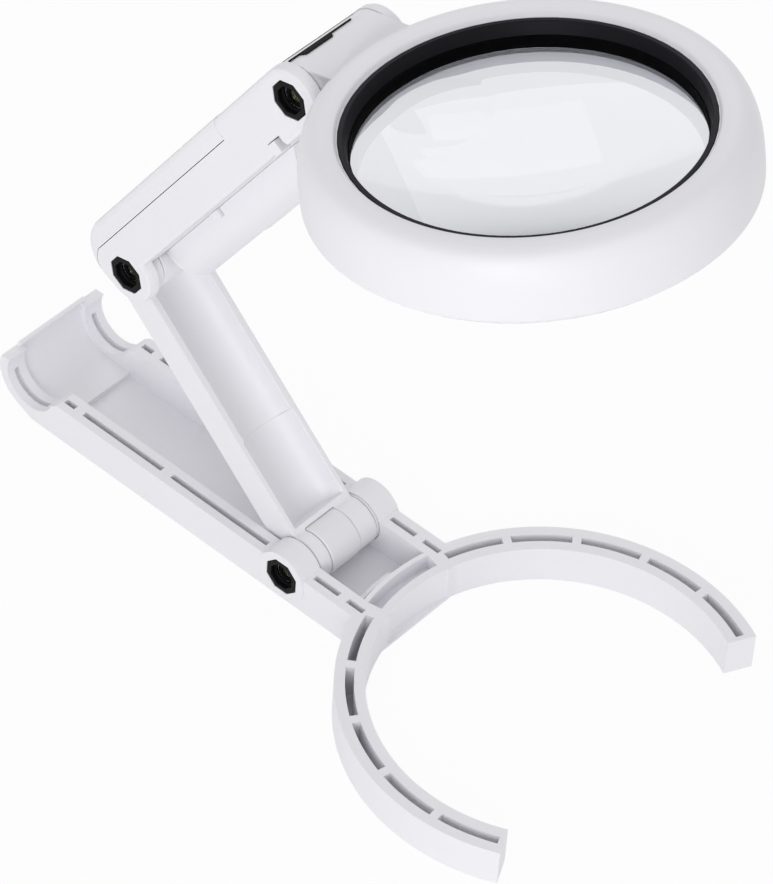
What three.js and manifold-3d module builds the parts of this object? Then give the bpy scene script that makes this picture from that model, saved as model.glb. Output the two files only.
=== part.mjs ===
// Folding desk magnifier: a lit round lens on a two-part arm over an open C-shaped foot.
// Millimetres, +Z up. The origin lies on the table, straight under the foot's hinge axis.
// +X runs from the foot's rear end to its ring, and every hinge axis lies along Y.
// Each moving group is drawn folded flat and then turned to the pose in which it stands.
import * as THREE from "three";
import { mergeVertices } from "three/addons/utils/BufferGeometryUtils.js";
import Module from "manifold-3d";

const wasm = await Module();
wasm.setup();

// Driving dimensions
const clearance = 0.3;
const overrun = 2;
const wall = 1.8;
const hingeHeight = 11.2;
const foldedElbowHeight = 23.5;
const lowerArmLength = 116.9;
const headHingeReach = 138.7;
const headHingeRise = 8.7;
const lensTubeRadius = 57.7;
const skinWidth = 13;
const neckLength = 8;
const railInner = 15;
const railOuter = 23.5;
const railHeight = 15.3;
const ringInner = 63;
const ringOuter = 73.4;
const lowerArmHalfWidth = 14;
const cheekInner = 18.2;
const cheekOuter = 22.6;
const screwRadius = 2;

// How far each hinge stands open from the folded pose, in degrees
const baseFold = 43.1;
const elbowFold = 100.3;
const headFold = 46.4;

// Places that follow from the driving dimensions
const elbowRise = foldedElbowHeight - hingeHeight;
const foldedElbowX = -Math.sqrt(lowerArmLength ** 2 - elbowRise ** 2);
const skirtRadius = lensTubeRadius + skinWidth;
const headReach = skirtRadius + neckLength;
const ringCentreX = foldedElbowX + headHingeReach + headReach;

const degree = Math.PI / 180;
const quarterTurn = Math.PI / 2;
const octagon = 8;
const hexagon = 6;

// Materials
const material = (color, roughness, metalness = 0, extra = {}) =>
  new THREE.MeshStandardMaterial({ color, roughness, metalness, ...extra });
const whiteShell = material(0xeceef0, 0.38);
const blackTrim = material(0x17181a, 0.45);
const brass = material(0xb98a3c, 0.35, 0.9);
const steel = material(0xb9bcc0, 0.35, 0.95);
const nylon = material(0xdfe1e2, 0.5);
const cellWrap = material(0x2f5f8f, 0.4);
const boardGreen = material(0x2c6e4a, 0.6);
const boardWhite = material(0xf1f2ee, 0.6);
const ledYellow = material(0xf3e7a8, 0.3);
const clearPlastic = material(0xf4f8f8, 0.05, 0, { transparent: true, opacity: 0.3 });
const milkyPlastic = material(0xf7f7f2, 0.3, 0, { transparent: true, opacity: 0.8 });

// Solids and the operations on them
function solid(geometry) {
  const bare = geometry.clone();
  bare.deleteAttribute("normal");
  bare.deleteAttribute("uv");
  const merged = mergeVertices(bare);
  return new wasm.Manifold(
    new wasm.Mesh({
      numProp: 3,
      vertProperties: merged.getAttribute("position").array,
      triVerts: new Uint32Array(merged.index.array),
    }),
  );
}

const join = (...solids) => solids.reduce((all, next) => all.add(next));
const cut = (first, ...others) => others.reduce((left, next) => left.subtract(next), first);

function mesh(name, shape, surface) {
  const { vertProperties, triVerts } = shape.getMesh();
  const geometry = new THREE.BufferGeometry();
  geometry.setAttribute("position", new THREE.BufferAttribute(vertProperties, 3));
  geometry.setIndex(new THREE.BufferAttribute(triVerts, 1));
  geometry.computeVertexNormals();
  const made = new THREE.Mesh(geometry, surface);
  made.name = name;
  return made;
}

// A shape drawn in x and z, extruded along y between two places.
function sideways(shape, from, to, curveSegments = 12) {
  const options = { depth: to - from, bevelEnabled: false, curveSegments };
  return solid(new THREE.ExtrudeGeometry(shape, options).rotateX(quarterTurn).translate(0, to, 0));
}

// A shape drawn in x and y, extruded upwards between two heights.
function upwards(shape, from, to, curveSegments = 12) {
  const options = { depth: to - from, bevelEnabled: false, curveSegments };
  return solid(new THREE.ExtrudeGeometry(shape, options).translate(0, 0, from));
}

function block(x, y, z) {
  const size = [x, y, z].map(([from, to]) => to - from);
  const middle = [x, y, z].map(([from, to]) => (from + to) / 2);
  return solid(new THREE.BoxGeometry(...size).translate(...middle));
}

// A round or many-sided bar along y.
function drum(radius, [from, to], x = 0, z = 0, sides = 28) {
  const bar = new THREE.CylinderGeometry(radius, radius, to - from, sides);
  return solid(bar.rotateY(Math.PI / sides).translate(x, (from + to) / 2, z));
}

// A round bar along x.
function rod(radius, [from, to], y = 0, z = 0, sides = 32) {
  const bar = new THREE.CylinderGeometry(radius, radius, to - from, sides);
  return solid(bar.rotateZ(quarterTurn).translate((from + to) / 2, y, z));
}

// A closed outline of [radius, height] points turned about the upright axis at x.
function revolve(outline, x = 0, segments = 56) {
  const closed = [...outline, outline[0]];
  const twiceArea = outline.reduce((sum, [r, h], i) => {
    const [nextR, nextH] = closed[i + 1];
    return sum + r * nextH - nextR * h;
  }, 0);
  const points = closed.map(([r, h]) => new THREE.Vector2(r, h));
  if (twiceArea < 0) points.reverse();
  return solid(new THREE.LatheGeometry(points, segments).rotateX(quarterTurn).translate(x, 0, 0));
}

function polygon(points) {
  return new THREE.Shape(points.map(([x, y]) => new THREE.Vector2(x, y)));
}

// Part of a flat ring between two angles in degrees.
function sector(inner, outer, fromAngle, toAngle, x = 0, y = 0) {
  const shape = new THREE.Shape();
  shape.absarc(x, y, outer, fromAngle * degree, toAngle * degree, false);
  shape.absarc(x, y, inner, toAngle * degree, fromAngle * degree, true);
  return shape;
}

const bothSides = (make) => join(make(-1), make(1));
const span = (side, inner, outer) => (side < 0 ? [-outer, -inner] : [inner, outer]);

// The hinge hardware: a cross-head screw, its nut and an octagonal cap on each side
const hardware = {
  recessRadius: 7.25,
  recessDepth: 3.2,
  capRadius: 7,
  capDish: 5,
  capDishDepth: 1.9,
  headRadius: 3.7,
  headThickness: 1.3,
  headDepth: 3.7,
  crossWidth: 0.9,
  crossLength: 4.6,
  crossDepth: 0.7,
};
const screwHole = screwRadius + clearance;
const headHole = hardware.headRadius + clearance;

// What a hinge's hardware cuts from the outer wall that carries it.
function hardwareCut(outerFace, x, z) {
  const { recessRadius, recessDepth, headDepth, headThickness } = hardware;
  const headSeat = outerFace - headDepth - headThickness - clearance;
  return bothSides((side) =>
    join(
      drum(recessRadius, span(side, outerFace - recessDepth, outerFace + overrun), x, z, octagon),
      drum(headHole, span(side, headSeat, outerFace), x, z, 16),
    ),
  ).add(drum(screwHole, [-outerFace, outerFace], x, z, 16));
}

function octagonCap(side, outerFace) {
  const { capRadius, capDish, capDishDepth, recessDepth } = hardware;
  const inner = outerFace - recessDepth + clearance;
  return cut(
    drum(capRadius, span(side, inner, outerFace), 0, 0, octagon),
    drum(capDish, span(side, outerFace - capDishDepth, outerFace + overrun), 0, 0, octagon),
    drum(headHole, span(side, inner - overrun, outerFace), 0, 0, 16),
  );
}

function crossScrew(outerFace) {
  const { headRadius, headThickness, headDepth, crossWidth, crossLength, crossDepth } = hardware;
  const faceAt = outerFace - headDepth;
  const depth = [-faceAt - overrun, crossDepth - faceAt];
  const across = [-crossLength / 2, crossLength / 2];
  const narrow = [-crossWidth / 2, crossWidth / 2];
  const farEnd = faceAt - headThickness - clearance;
  return cut(
    join(
      drum(headRadius, [-faceAt, headThickness - faceAt], 0, 0, 16),
      drum(screwRadius, [-faceAt + headThickness / 2, farEnd], 0, 0, 16),
    ),
    block(across, depth, narrow),
    block(narrow, depth, across),
  );
}

function hexNut(outerFace) {
  const { headRadius, headThickness, headDepth } = hardware;
  const faceAt = outerFace - headDepth;
  return drum(headRadius, [faceAt - headThickness, faceAt], 0, 0, hexagon);
}

function hingeHardware(name, outerFace) {
  return [
    mesh(name + "_cap_near", octagonCap(-1, outerFace), blackTrim),
    mesh(name + "_cap_far", octagonCap(1, outerFace), blackTrim),
    mesh(name + "_screw", crossScrew(outerFace), brass),
    mesh(name + "_nut", hexNut(outerFace), steel),
  ];
}

// A friction bush beside a knuckle, with a seat for the screw's head or nut.
function bush(side, radius, [inner, outer], outerFace) {
  const { headDepth, headThickness } = hardware;
  const headSeat = outerFace - headDepth - headThickness - clearance;
  return cut(
    drum(radius, span(side, inner, outer)),
    drum(screwHole, span(side, inner - overrun, outer + overrun), 0, 0, 16),
    drum(headHole, span(side, headSeat, headSeat + hardware.headDepth), 0, 0, 16),
  );
}

// The foot: two rails with a trough between them, a C-shaped ring and a cup for the folded elbow
const foot = {
  floorThickness: 1.2,
  bossRadius: 10,
  bossOuter: 24.4,
  bossInner: 18.5,
  bushRadius: 9.2,
  ringGapAngle: 63.3,
  ringEndWall: 1.5,
  ringSlotCount: 5,
  ringRibAngle: 2.6,
  ringSlotWidth: 3,
  slotFloor: 1.6,
  railSlotWidth: 2.2,
  cradleSetback: 4.75,
  cradleHeight: 16.6,
  saddleRadius: 11,
  elbowRoom: 0.5,
  cradleRadius: 14.6,
  earRise: 4.6,
  cupWall: 1.5,
  cupRise: 6.7,
  cupFront: 11.7,
  stopRibGap: 2.2,
  stopRibThickness: 1.4,
  stopRibHeight: 11,
};
// Where each rail slot starts and ends, as shares of the rail before and behind the hinge
const rearSlotShares = [
  [0.095, 0.483],
  [0.522, 0.846],
  [0.881, 0.923],
];
const frontSlotShares = [
  [0.263, 0.538],
  [0.629, 0.808],
];
const earTangentAngle = 245;
const stopRibAngles = [177.7, 190.6];
const saddleGrooveAngles = [192, 300];
const grooveDepthShare = 0.6;
const cradleX = foldedElbowX - foot.cradleSetback;
const railFront = ringCentreX - Math.sqrt(ringInner ** 2 - railOuter ** 2) - overrun;
const railSlotY = (railInner + railOuter) / 2;

function earProfile() {
  const { cradleRadius, cradleHeight, earRise } = foot;
  const tangent = earTangentAngle * degree;
  const topAngle = Math.PI - Math.asin(earRise / cradleRadius);
  const touchX = cradleX + cradleRadius * Math.cos(tangent);
  const touchZ = cradleHeight + cradleRadius * Math.sin(tangent);
  const bottomX = touchX + touchZ * Math.tan(tangent - Math.PI);
  const shape = new THREE.Shape();
  shape.moveTo(foldedElbowX + overrun, 0);
  shape.lineTo(foldedElbowX + overrun, railHeight);
  shape.lineTo(cradleX, railHeight);
  shape.lineTo(cradleX, cradleHeight + earRise);
  shape.absarc(cradleX, cradleHeight, cradleRadius, topAngle, tangent, false);
  shape.lineTo(bottomX, 0);
  return shape;
}

function cupProfile() {
  const { cradleRadius, cradleHeight, cupWall: thickness, cupRise, cupFront } = foot;
  const inner = cradleRadius - thickness;
  const frontX = cradleX + cupFront;
  const floor = cradleHeight - inner;
  const topAngle = (radius) => Math.PI - Math.asin(cupRise / radius);
  const shape = new THREE.Shape();
  shape.moveTo(frontX, 0);
  shape.lineTo(frontX, floor);
  shape.lineTo(cradleX, floor);
  shape.absarc(cradleX, cradleHeight, inner, -quarterTurn, topAngle(inner) - 2 * Math.PI, true);
  shape.absarc(cradleX, cradleHeight, cradleRadius, topAngle(cradleRadius), 3 * quarterTurn, false);
  shape.lineTo(frontX - thickness, floor - thickness);
  shape.lineTo(frontX - thickness, 0);
  return shape;
}

function ringSlots() {
  const { ringGapAngle, ringEndWall, ringSlotCount, ringRibAngle, ringSlotWidth, slotFloor } = foot;
  const middle = (ringInner + ringOuter) / 2;
  const first = ringGapAngle + ringEndWall;
  const last = 180 - Math.asin(railSlotY / middle) / degree;
  const step = (last - first + ringRibAngle) / ringSlotCount;
  const slots = [];
  for (let i = 0; i < ringSlotCount; i += 1) {
    const from = first + i * step;
    const to = from + step - ringRibAngle;
    const [inner, outer] = [middle - ringSlotWidth / 2, middle + ringSlotWidth / 2];
    slots.push(sector(inner, outer, from, to, ringCentreX), sector(inner, outer, -to, -from, ringCentreX));
  }
  return join(...slots.map((slot) => upwards(slot, slotFloor, railHeight + overrun, 4)));
}

function railSlots() {
  const { railSlotWidth, slotFloor } = foot;
  const spans = [
    ...rearSlotShares.map((ends) => ends.map((share) => foldedElbowX * share).reverse()),
    ...frontSlotShares.map((ends) => ends.map((share) => railFront * share)),
  ];
  const height = [slotFloor, railHeight + overrun];
  return bothSides((side) =>
    join(
      ...spans.map((along) =>
        block(along, span(side, railSlotY - railSlotWidth / 2, railSlotY + railSlotWidth / 2), height),
      ),
    ),
  );
}

function footCradle() {
  const { bossRadius, bossOuter, bossInner, bushRadius, saddleRadius, railSlotWidth, cradleHeight } = foot;
  const { stopRibGap, stopRibThickness, stopRibHeight, ringGapAngle, floorThickness, elbowRoom } = foot;
  const ring = sector(ringInner, ringOuter, ringGapAngle, 360 - ringGapAngle, ringCentreX);
  const ribInner = ringOuter + stopRibGap;
  const rib = sector(ribInner, ribInner + stopRibThickness, ...stopRibAngles, ringCentreX);
  const grooveDepth = saddleRadius + (foot.cradleRadius - saddleRadius) * grooveDepthShare;
  const groove = sector(saddleRadius - overrun, grooveDepth, ...saddleGrooveAngles, cradleX, cradleHeight);
  const grooveHalf = railSlotWidth / 2;
  const troughHalf = railInner + overrun / 2;
  const trough = [cradleX + foot.cupFront - wall, railFront];
  const elbowSeat = upperArm.bossRadius + elbowRoom;
  const knuckleRoom = lowerArm.sleeveRadius + clearance;
  const solidFoot = join(
    upwards(ring, 0, railHeight, 44),
    upwards(rib, 0, stopRibHeight, 4),
    bothSides((side) => block([foldedElbowX, railFront], span(side, railInner, railOuter), [0, railHeight])),
    bothSides((side) => sideways(earProfile(), ...span(side, railInner, railOuter), 12)),
    bothSides((side) => drum(bossRadius, span(side, railInner, bossOuter), 0, hingeHeight)),
    sideways(cupProfile(), -troughHalf, troughHalf, 14),
    block(trough, [-troughHalf, troughHalf], [0, floorThickness]),
  );
  const overRail = (side) => span(side, railInner, railOuter + overrun);
  const inBoss = (side) => span(side, railInner - overrun, bossInner);
  return cut(
    solidFoot,
    bothSides((side) => drum(saddleRadius, overRail(side), cradleX, cradleHeight)),
    bothSides((side) => drum(elbowSeat, overRail(side), foldedElbowX, foldedElbowHeight)),
    bothSides((side) => sideways(groove, ...span(side, railSlotY - grooveHalf, railSlotY + grooveHalf))),
    bothSides((side) => drum(bushRadius + clearance, inBoss(side), 0, hingeHeight)),
    drum(knuckleRoom, [-railInner, railInner], 0, hingeHeight),
    hardwareCut(bossOuter, 0, hingeHeight),
    railSlots(),
    ringSlots(),
  );
}

// The lower arm: a trough-shaped bar between the foot's hinge and the elbow
const lowerArm = {
  knuckleRadius: 9.2,
  elbowRadius: 9.8,
  ridgeHeight: 3.9,
  cornerForward: 9,
  cornerDrop: 8.3,
  channelGap: 0.9,
  deepGap: 1.5,
  channelRear: 9.9,
  channelFront: 11,
  deepLength: 45,
  pocketCount: 5,
  pocketRib: 2,
  pocketStart: 13,
  sleeveRadius: 9.6,
  sleeveSpan: [-8.4, 5.3],
};

// The half-round belly under the upper arm, which lies in the lower arm's channel when folded
const belly = {
  radius: 11,
  stepRadius: 11.5,
  stepStart: 53.5,
  drop: 5.1,
  start: 10.5,
  knuckleGap: 2.6,
  endWall: 3,
  lugSpan: [48, 53],
  lugReach: 1.8,
};

function lowerArmProfile() {
  const { knuckleRadius, elbowRadius, ridgeHeight, cornerForward, cornerDrop } = lowerArm;
  const cornerBelow = cornerDrop + elbowRise;
  const reach = Math.hypot(cornerForward, cornerBelow);
  const tangent = Math.atan2(-cornerBelow, cornerForward) - Math.acos(elbowRadius / reach);
  const kneeRidge = Math.PI - Math.asin(ridgeHeight / knuckleRadius);
  const elbowRidge = -Math.asin((elbowRise - ridgeHeight) / elbowRadius);
  const shape = new THREE.Shape();
  shape.absarc(0, 0, knuckleRadius, -quarterTurn, kneeRidge, false);
  shape.absarc(foldedElbowX, elbowRise, elbowRadius, elbowRidge, tangent, false);
  shape.lineTo(foldedElbowX + cornerForward, -cornerDrop);
  return shape;
}

function lowerArmPockets(floor) {
  const { cornerForward, cornerDrop, pocketCount, pocketRib, pocketStart, knuckleRadius } = lowerArm;
  const rear = foldedElbowX + cornerForward + wall;
  const length = (-pocketStart - rear + pocketRib) / pocketCount;
  const half = lowerArmHalfWidth - wall;
  const pockets = [];
  for (let i = 0; i < pocketCount; i += 1) {
    const from = rear + i * length;
    pockets.push(block([from, from + length - pocketRib], [-half, half], [-knuckleRadius - overrun, floor]));
  }
  return join(...pockets);
}

function lowerArmBar() {
  const { channelGap, deepGap, channelRear, channelFront, deepLength, sleeveRadius, sleeveSpan } = lowerArm;
  const channelZ = elbowRise - belly.drop;
  const channelFrom = foldedElbowX + channelRear;
  const shallow = belly.radius + channelGap;
  const deep = belly.radius + deepGap;
  const sleeveSeat = sleeveSpan.map((y) => y + Math.sign(y) * clearance);
  const width = [-lowerArmHalfWidth, lowerArmHalfWidth];
  const throughWidth = [-lowerArmHalfWidth - overrun, lowerArmHalfWidth + overrun];
  return cut(
    sideways(lowerArmProfile(), ...width, 14),
    rod(shallow, [channelFrom, -channelFront], 0, channelZ),
    rod(deep, [-deepLength, -channelFront], 0, channelZ),
    lowerArmPockets(channelZ - deep - wall),
    drum(sleeveRadius + clearance, sleeveSeat),
    drum(screwHole, throughWidth, 0, 0, 16),
    drum(screwHole, throughWidth, foldedElbowX, elbowRise, 16),
  );
}

function frictionSleeve() {
  const { sleeveRadius, sleeveSpan } = lowerArm;
  const through = [sleeveSpan[0] - overrun, sleeveSpan[1] + overrun];
  return cut(drum(sleeveRadius, sleeveSpan), drum(screwHole, through, 0, 0, 16));
}

// The upper arm's shell. Its x runs from the elbow to the head, its z to the arm's back
const upperArm = {
  frontEdge: 1.8,
  bossRadius: 11.2,
  cornerRadius: 14.5,
  cornerX: 2.6,
  edgeRound: 2.2,
  plateStart: 10.8,
  cavityStart: 16,
  cavityGap: 14.7,
  seamHeight: 12.8,
  seamRadius: 13.4,
  seamEnd: 96,
  seamSlant: 1.5,
  wrapEnd: 6.5,
  windowGap: 58.7,
  windowLength: 18,
  windowHalf: 5,
  leadHole: 2.4,
  dotPlace: 69,
  dotRadius: 1.6,
  dotDepth: 0.6,
};
const backEdge = headHingeRise + upperArm.bossRadius;
const cavityEnd = headHingeReach - upperArm.cavityGap;

// The slide switch on the near cheek's lower edge
const powerSwitch = {
  notchGap: 24.2,
  notchLength: 8,
  notchTop: 2.6,
  tabLength: 4.4,
  tabStandOut: 0.5,
  bodyLength: 10,
  bodyInner: 12.5,
  bodyOuter: 18.2,
  bodyTop: 5,
};
const notchStart = headHingeReach - powerSwitch.notchGap;
const switchNotch = [notchStart, notchStart + powerSwitch.notchLength];

function upperArmOutline() {
  const { frontEdge, bossRadius, cornerRadius, cornerX } = upperArm;
  const cornerZ = backEdge - cornerRadius;
  const apart = Math.hypot(cornerX, cornerZ);
  const along = (bossRadius ** 2 + apart ** 2 - cornerRadius ** 2) / (2 * apart);
  const bossMeet = Math.atan2(cornerZ, cornerX) + Math.acos(along / bossRadius);
  const meetX = bossRadius * Math.cos(bossMeet);
  const meetZ = bossRadius * Math.sin(bossMeet);
  const cornerMeet = Math.atan2(meetZ - cornerZ, meetX - cornerX);
  const headEnd = Math.asin((headHingeRise + frontEdge) / bossRadius) - Math.PI;
  const shape = new THREE.Shape();
  shape.absarc(0, 0, bossRadius, -Math.asin(frontEdge / bossRadius), bossMeet, true);
  shape.absarc(cornerX, cornerZ, cornerRadius, cornerMeet, quarterTurn, true);
  shape.absarc(headHingeReach, headHingeRise, bossRadius, quarterTurn, headEnd, true);
  return shape;
}

// The whole shell of the upper arm before the battery cover is parted from it.
function upperArmShell() {
  const { cornerRadius, cornerX, edgeRound, plateStart, cavityStart, wrapEnd } = upperArm;
  const cornerZ = backEdge - cornerRadius;
  const rounded = new THREE.ExtrudeGeometry(upperArmOutline(), {
    depth: 2 * (cheekOuter - edgeRound),
    bevelThickness: edgeRound,
    bevelSize: edgeRound,
    bevelOffset: -edgeRound,
    bevelSegments: 2,
    curveSegments: 12,
  });
  const body = solid(rounded.rotateX(quarterTurn).translate(0, cheekOuter - edgeRound, 0));
  const narrow = [-cheekInner, cheekInner];
  const wide = [wall - cheekOuter, cheekOuter - wall];
  const far = cornerRadius + overrun;
  return cut(
    body,
    drum(cornerRadius - wall, narrow, cornerX, cornerZ),
    block([cornerX, cavityEnd], narrow, [0, backEdge - wall]),
    block([cavityStart, cavityEnd], wide, [0, backEdge - wall]),
    block([-far, plateStart], narrow, [-far, wrapEnd]),
    block([cavityEnd + wall, headHingeReach + far], narrow, [-far, 0]),
    drum(upperArm.bossRadius + clearance, narrow, headHingeReach, headHingeRise),
  );
}

// The space of the battery cover, drawn larger by a margin where the housing is cut back for it.
function coverSpace(margin) {
  const { seamHeight, seamRadius, seamEnd, seamSlant, wrapEnd, cornerRadius } = upperArm;
  const top = backEdge + overrun;
  const rear = -cornerRadius - overrun;
  const radius = seamRadius - margin;
  const lowAngle = Math.PI - Math.asin((wrapEnd - margin) / radius);
  const highAngle = Math.PI - Math.asin((seamHeight - margin) / radius);
  const sides = new THREE.Shape();
  sides.moveTo(rear, top);
  sides.lineTo(rear, wrapEnd - margin);
  sides.absarc(0, 0, radius, lowAngle, highAngle, true);
  sides.lineTo(seamEnd + margin, seamHeight - margin);
  sides.lineTo(seamEnd + seamSlant + margin, top);
  const middle = polygon([
    [rear, wrapEnd - margin],
    [seamEnd + margin, wrapEnd - margin],
    [seamEnd + margin, seamHeight - margin],
    [seamEnd + seamSlant + margin, top],
    [rear, top],
  ]);
  const outside = cheekOuter + overrun;
  const inside = cheekInner + margin;
  return join(sideways(sides, -outside, outside, 16), sideways(middle, -inside, inside));
}

function batteryCover(shell) {
  const { dotPlace, dotRadius, dotDepth, edgeRound } = upperArm;
  const dotY = [edgeRound - cheekOuter - dotDepth, edgeRound - cheekOuter + dotRadius];
  const dot = block([dotPlace - dotRadius, dotPlace + dotRadius], dotY, [backEdge - dotDepth, backEdge + overrun]);
  return cut(shell.intersect(coverSpace(0)), dot);
}

function upperHousing(shell) {
  const { windowGap, windowLength, windowHalf, leadHole, frontEdge } = upperArm;
  const { notchTop, bodyOuter } = powerSwitch;
  const windowAlong = [headHingeReach - windowGap, headHingeReach - windowGap + windowLength];
  const notchY = [-cheekOuter - overrun, -bodyOuter - clearance];
  return cut(
    shell,
    coverSpace(clearance),
    block(windowAlong, [-windowHalf, windowHalf], [-frontEdge - overrun, overrun]),
    block(switchNotch, notchY, [-frontEdge - overrun, notchTop]),
    rod(leadHole, [cavityEnd - overrun, headHingeReach], 0, headHingeRise, 16),
    hardwareCut(cheekOuter, 0, 0),
    hardwareCut(cheekOuter, headHingeReach, headHingeRise),
  );
}

function bellyHousing() {
  const { radius, stepRadius, stepStart, drop, start, knuckleGap, endWall } = belly;
  const top = -upperArm.frontEdge - clearance;
  const knuckleX = -foldedElbowX;
  const relief = lowerArm.sleeveRadius + knuckleGap;
  const end = knuckleX - relief / 2;
  const hollowEnd = knuckleX - relief - endWall;
  const length = (r, along) => join(rod(r, along, 0, -drop), block(along, [-r, r], [-drop, top]));
  const lug = block(belly.lugSpan, [-radius - belly.lugReach, wall / 2 - radius], [-drop, top]);
  const across = [-stepRadius - overrun, stepRadius + overrun];
  const above = block([start - overrun, end + overrun], across, [top, radius]);
  return cut(
    join(length(radius, [start, stepStart + wall]), length(stepRadius, [stepStart, end]), lug),
    length(radius - wall, [start + wall, hollowEnd]),
    drum(relief, across, knuckleX, -elbowRise),
    above,
  );
}

// What the upper arm holds: three AAA cells in a tray, their contacts, the driver board, the switch
const battery = {
  radius: 5.25,
  length: 44.5,
  count: 3,
  pitch: 11,
  start: 30,
  centreHeight: 6.2,
  nubRadius: 1.9,
  nubLength: 0.8,
  contactThickness: 0.4,
  contactTop: 10.5,
  trayWall: 1.3,
  traySide: 0.9,
  trayTop: 7.5,
};
const driver = {
  trayGap: 2,
  headGap: 28.7,
  halfWidth: 12,
  lift: 2.5,
  thickness: 1.6,
  chip: 5,
  chipHeight: 1.8,
};

const cellEnds = [battery.start, battery.start + battery.length];
const contactGap = clearance + battery.contactThickness;
const trayInner = [cellEnds[0] - contactGap - clearance, cellEnds[1] + contactGap + clearance];
const trayOuter = [trayInner[0] - battery.trayWall, trayInner[1] + battery.trayWall];
const driverSpan = [trayOuter[1] + driver.trayGap, headHingeReach - driver.headGap];
const cellRows = Array.from(
  { length: battery.count },
  (_, i) => (i - (battery.count - 1) / 2) * battery.pitch,
);
const trayHalf = ((battery.count - 1) / 2) * battery.pitch + battery.radius + clearance;

function cell(y) {
  const { radius, nubRadius, nubLength, centreHeight } = battery;
  return join(
    rod(radius, [cellEnds[0], cellEnds[1] - nubLength], y, centreHeight, 16),
    rod(nubRadius, [cellEnds[1] - nubLength - clearance, cellEnds[1]], y, centreHeight, 16),
  );
}

function batteryTray() {
  const { radius, centreHeight, traySide, trayTop, contactTop } = battery;
  const half = trayHalf + traySide;
  return cut(
    join(
      block(trayOuter, [-half, half], [clearance, trayTop]),
      block([trayOuter[0], trayInner[0]], [-half, half], [clearance, contactTop]),
      block([trayInner[1], trayOuter[1]], [-half, half], [clearance, contactTop]),
    ),
    ...cellRows.map((y) => rod(radius + clearance, trayInner, y, centreHeight, 16)),
    block(trayInner, [-trayHalf, trayHalf], [centreHeight, contactTop + overrun]),
  );
}

function contactPlate(from) {
  const { contactThickness, centreHeight, contactTop, radius } = battery;
  const across = [-trayHalf + radius / 2, trayHalf - radius / 2];
  return block([from, from + contactThickness], across, [centreHeight + clearance, contactTop]);
}

function driverBoard() {
  const { halfWidth, lift, thickness, chip, chipHeight } = driver;
  const top = lift + thickness;
  const middle = (driverSpan[0] + driverSpan[1]) / 2;
  const legs = bothSides((side) =>
    join(
      ...[driverSpan[0], driverSpan[1] - wall].map((from) =>
        block([from, from + wall], span(side, halfWidth - wall, halfWidth), [clearance, lift]),
      ),
    ),
  );
  return join(
    block(driverSpan, [-halfWidth, halfWidth], [lift, top]),
    block([middle - chip / 2, middle + chip / 2], [-chip / 2, chip / 2], [top, top + chipHeight]),
    legs,
  );
}

function switchBody() {
  const { bodyLength, bodyInner, bodyOuter, bodyTop } = powerSwitch;
  const middle = (switchNotch[0] + switchNotch[1]) / 2;
  const along = [middle - bodyLength / 2, middle + bodyLength / 2];
  return block(along, [-bodyOuter, -bodyInner], [clearance, bodyTop]);
}

function switchTab() {
  const { notchTop, tabLength, tabStandOut, bodyOuter } = powerSwitch;
  const along = [notchStart + clearance, notchStart + clearance + tabLength];
  const across = [-cheekOuter - tabStandOut, -bodyOuter - 2 * clearance];
  return block(along, across, [-upperArm.frontEdge - tabStandOut / 2, notchTop - clearance]);
}

// The head, drawn about its hinge axis with the lens centre at headReach
const head = {
  tubeTop: 9.9,
  crest: 12,
  skirt: -10.9,
  neckRadius: 10.9,
  neckHalf: 17.9,
  neckTop: 11.3,
  tubeWall: 1.7,
  flangeTop: -4.3,
  flangeWidth: 3.1,
  bushRadius: 6.5,
  bushInner: 11,
  notchSpan: [-12.6, 0],
  notchDepth: 2.6,
  notchFoot: -1,
  leadRadius: 2.2,
  leadY: -6,
  leadZ: 5,
};
// The rounded skin outside and inside, as shares of its width and of the height from skirt to crest
const skinShares = [
  [0.16, 0.965],
  [0.345, 1],
  [0.545, 0.991],
  [0.738, 0.93],
  [0.877, 0.79],
  [0.962, 0.607],
  [1, 0.367],
  [1, 0.06],
  [0.96, 0],
];
const innerSkinShares = [
  [0.36, 0.905],
  [0.64, 0.84],
  [0.8, 0.6],
  [0.84, 0],
];
const atSkin = ([across, up]) => [
  lensTubeRadius + skinWidth * across,
  head.skirt + (head.crest - head.skirt) * up,
];
const outerSkin = skinShares.map(atSkin);
const innerSkin = innerSkinShares.map(atSkin);

function headShell() {
  const { tubeTop, tubeWall, flangeTop, flangeWidth } = head;
  const tubeOuter = lensTubeRadius + tubeWall;
  const flangeBottom = flangeTop - wall;
  const flangeInner = lensTubeRadius - flangeWidth;
  return revolve(
    [
      [lensTubeRadius, tubeTop],
      ...outerSkin,
      ...innerSkin.toReversed(),
      [tubeOuter, tubeTop - wall],
      [tubeOuter, flangeBottom],
      [flangeInner, flangeBottom],
      [flangeInner, flangeTop],
      [lensTubeRadius, flangeTop],
    ],
    headReach,
  );
}

// Everything inside the head's skin, which the neck must leave free.
function headInside() {
  const { tubeTop, skirt } = head;
  const high = headReach;
  const skirtInner = innerSkin.at(-1)[0];
  return revolve(
    [
      [0, -high],
      [skirtInner, -high],
      [skirtInner, skirt],
      ...innerSkin.slice(0, -1).reverse(),
      [lensTubeRadius, tubeTop - wall],
      [lensTubeRadius, high],
      [0, high],
    ],
    headReach,
  );
}

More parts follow.
